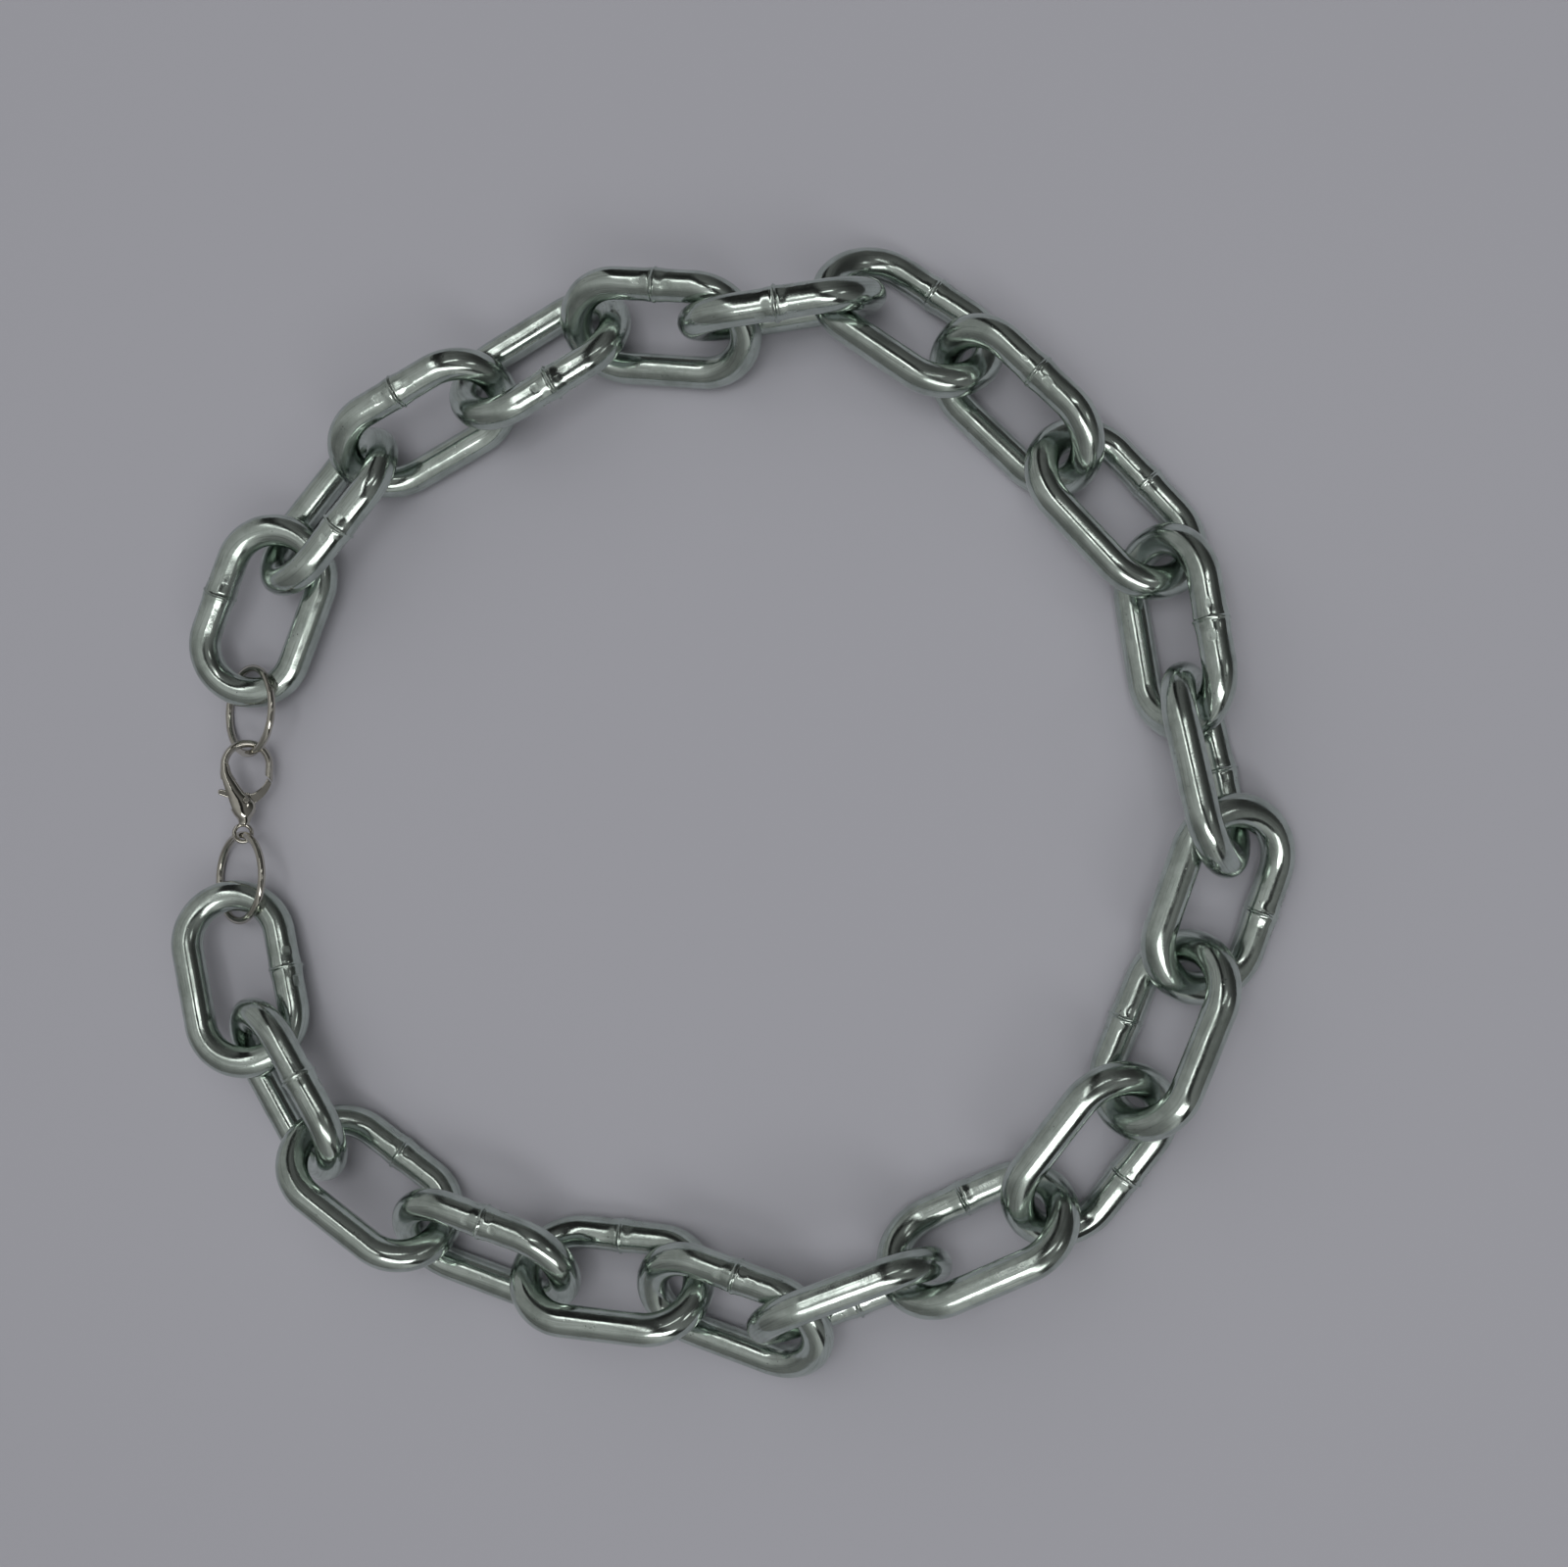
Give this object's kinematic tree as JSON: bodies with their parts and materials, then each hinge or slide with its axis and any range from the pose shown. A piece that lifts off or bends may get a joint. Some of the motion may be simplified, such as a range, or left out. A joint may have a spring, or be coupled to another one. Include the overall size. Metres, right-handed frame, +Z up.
{
  "type": "chain necklace",
  "caption": "Short, chunky necklace of welded stadium-shaped steel links, closed by two jump rings and a small lobster clasp.",
  "frame": {"origin": "middle of the necklace's bounding box at floor height, laid closed and flat", "axes": "+Z up out of the floor it lies on; the clasp is on the -X side, its hook towards +Y and its eye towards -Y"},
  "size_m": [0.159, 0.156, 0.0186],
  "materials": {
    "zinc_link": "bright zinc plating, lightly scuffed",
    "nickel": "polished nickel plating",
    "spring_steel": "plain"
  },
  "bodies": {
    "link_01": {"link_01": "zinc_link"},
    "link_02": {"link_02": "zinc_link"},
    "link_03": {"link_03": "zinc_link"},
    "link_04": {"link_04": "zinc_link"},
    "link_05": {"link_05": "zinc_link"},
    "link_06": {"link_06": "zinc_link"},
    "link_07": {"link_07": "zinc_link"},
    "link_08": {"link_08": "zinc_link"},
    "link_09": {"link_09": "zinc_link"},
    "link_10": {"link_10": "zinc_link"},
    "link_11": {"link_11": "zinc_link"},
    "link_12": {"link_12": "zinc_link"},
    "link_13": {"link_13": "zinc_link"},
    "link_14": {"link_14": "zinc_link"},
    "link_15": {"link_15": "zinc_link"},
    "link_16": {"link_16": "zinc_link"},
    "link_17": {"link_17": "zinc_link"},
    "link_18": {"link_18": "zinc_link"},
    "link_19": {"link_19": "zinc_link"},
    "link_20": {"link_20": "zinc_link"},
    "link_21": {"link_21": "zinc_link"},
    "link_22": {"link_22": "zinc_link"},
    "jump_ring_upper": {"jump_ring_upper": "nickel"},
    "jump_ring_lower": {"jump_ring_lower": "nickel"},
    "clasp": {"clasp_body": "nickel", "clasp_pin": "nickel", "clasp_spring": "spring_steel"},
    "trigger": {"clasp_trigger": "nickel"}
  },
  "joints": [
    {"name": "link_11_to_link_10", "type": "hinge", "parent": "link_11", "child": "link_10", "pos_m": [0.06292, -0.02016, 0.00538], "axis": [-0.9762, 0.2168, -0.009], "range_deg": [-9, 8]},
    {"name": "link_10_to_link_09", "type": "hinge", "parent": "link_10", "child": "link_09", "pos_m": [0.06033, -0.03945, 0.0079], "axis": [0.9358, -0.3516, 0.027], "range_deg": [-15, 15]},
    {"name": "link_09_to_link_08", "type": "hinge", "parent": "link_09", "child": "link_08", "pos_m": [0.04739, -0.05443, 0.00653], "axis": [-0.8775, 0.4793, -0.0178], "range_deg": [-15, 15]},
    {"name": "link_08_to_link_07", "type": "hinge", "parent": "link_08", "child": "link_07", "pos_m": [0.03191, -0.06257, 0.01098], "axis": [0.8139, -0.5784, 0.0549], "range_deg": [-12, 15]},
    {"name": "link_07_to_link_06", "type": "hinge", "parent": "link_07", "child": "link_06", "pos_m": [0.01471, -0.07142, 0.00542], "axis": [-0.7205, 0.6933, -0.0107], "range_deg": [0, 9]},
    {"name": "link_06_to_link_05", "type": "hinge", "parent": "link_06", "child": "link_05", "pos_m": [-0.00164, -0.06245, 0.00722], "axis": [-0.685, 0.7279, -0.031], "range_deg": [-15, 7]},
    {"name": "link_05_to_link_04", "type": "hinge", "parent": "link_05", "child": "link_04", "pos_m": [-0.02215, -0.06671, 0.00743], "axis": [0.5252, -0.8502, 0.0366], "range_deg": [-15, 15]},
    {"name": "link_04_to_link_03", "type": "hinge", "parent": "link_04", "child": "link_03", "pos_m": [-0.04065, -0.05999, 0.00669], "axis": [-0.3793, 0.9247, -0.0338], "range_deg": [-15, 15]},
    {"name": "link_03_to_link_02", "type": "hinge", "parent": "link_03", "child": "link_02", "pos_m": [-0.05723, -0.04942, 0.00729], "axis": [0.1968, -0.9791, 0.0522], "range_deg": [-15, 15]},
    {"name": "link_02_to_link_01", "type": "hinge", "parent": "link_02", "child": "link_01", "pos_m": [-0.06862, -0.03567, 0.00493], "axis": [-0.0087, 0.9998, -0.0169], "range_deg": [-9, 7]},
    {"name": "link_01_to_jump_ring_lower", "type": "hinge", "parent": "link_01", "child": "jump_ring_lower", "pos_m": [-0.06717, -0.01477, 0.00574], "axis": [0.0763, -0.9949, 0.0655], "range_deg": [-3, 12]},
    {"name": "jump_ring_lower_to_clasp", "type": "hinge", "parent": "jump_ring_lower", "child": "clasp", "pos_m": [-0.06915, -0.00395, 0.00403], "axis": [0.0113, 0.9999, 0.0102], "range_deg": [-3, 15]},
    {"name": "link_11_to_link_12", "type": "hinge", "parent": "link_11", "child": "link_12", "pos_m": [0.07267, -0.00177, 0.00511], "axis": [-0.997, 0.0768, -0.0067], "range_deg": [-10, 13]},
    {"name": "link_12_to_link_13", "type": "hinge", "parent": "link_12", "child": "link_13", "pos_m": [0.06693, 0.01529, 0.01142], "axis": [-0.9976, -0.0452, -0.0532], "range_deg": [-5, 15]},
    {"name": "link_13_to_link_14", "type": "hinge", "parent": "link_13", "child": "link_14", "pos_m": [0.06426, 0.03337, 0.00647], "axis": [0.9837, 0.1789, 0.017], "range_deg": [-15, 15]},
    {"name": "link_14_to_link_15", "type": "hinge", "parent": "link_14", "child": "link_15", "pos_m": [0.05043, 0.04738, 0.00714], "axis": [0.9521, 0.3049, 0.0237], "range_deg": [-15, 15]},
    {"name": "link_15_to_link_16", "type": "hinge", "parent": "link_15", "child": "link_16", "pos_m": [0.03554, 0.05971, 0.00689], "axis": [-0.8999, -0.4354, -0.0235], "range_deg": [-15, 15]},
    {"name": "link_16_to_link_17", "type": "hinge", "parent": "link_16", "child": "link_17", "pos_m": [0.01962, 0.07202, 0.00452], "axis": [-0.8156, -0.5787, -0.0032], "range_deg": [-3, 11]},
    {"name": "link_17_to_link_18", "type": "hinge", "parent": "link_17", "child": "link_18", "pos_m": [0.00035, 0.06884, 0.01177], "axis": [0.7553, 0.6501, 0.0828], "range_deg": [-15, 1]},
    {"name": "link_18_to_link_19", "type": "hinge", "parent": "link_18", "child": "link_19", "pos_m": [-0.01592, 0.06997, 0.00645], "axis": [0.6573, 0.7531, 0.0283], "range_deg": [-15, 15]},
    {"name": "link_19_to_link_20", "type": "hinge", "parent": "link_19", "child": "link_20", "pos_m": [-0.03202, 0.05889, 0.00703], "axis": [-0.5959, -0.8017, -0.0461], "range_deg": [-15, 15]},
    {"name": "link_20_to_link_21", "type": "hinge", "parent": "link_20", "child": "link_21", "pos_m": [-0.04979, 0.05096, 0.00653], "axis": [0.4169, 0.9075, 0.0512], "range_deg": [-14, 15]},
    {"name": "link_21_to_link_22", "type": "hinge", "parent": "link_21", "child": "link_22", "pos_m": [-0.06401, 0.04009, 0.00498], "axis": [-0.1594, -0.9869, -0.0258], "range_deg": [-8, 8]},
    {"name": "link_22_to_jump_ring_upper", "type": "hinge", "parent": "link_22", "child": "jump_ring_upper", "pos_m": [-0.06545, 0.01944, 0.00569], "axis": [-0.3229, -0.9362, -0.1388], "range_deg": [-2, 11]},
    {"name": "clasp_trigger_pivot", "type": "hinge", "parent": "clasp", "child": "trigger", "pos_m": [-0.06932, 0.00162, 0.00408], "axis": [0.4378, -0.0228, 0.8988], "range_deg": [0, 32], "stiffness_Nm_per_rad": 0.002, "springref_deg": -20.05}
  ]
}
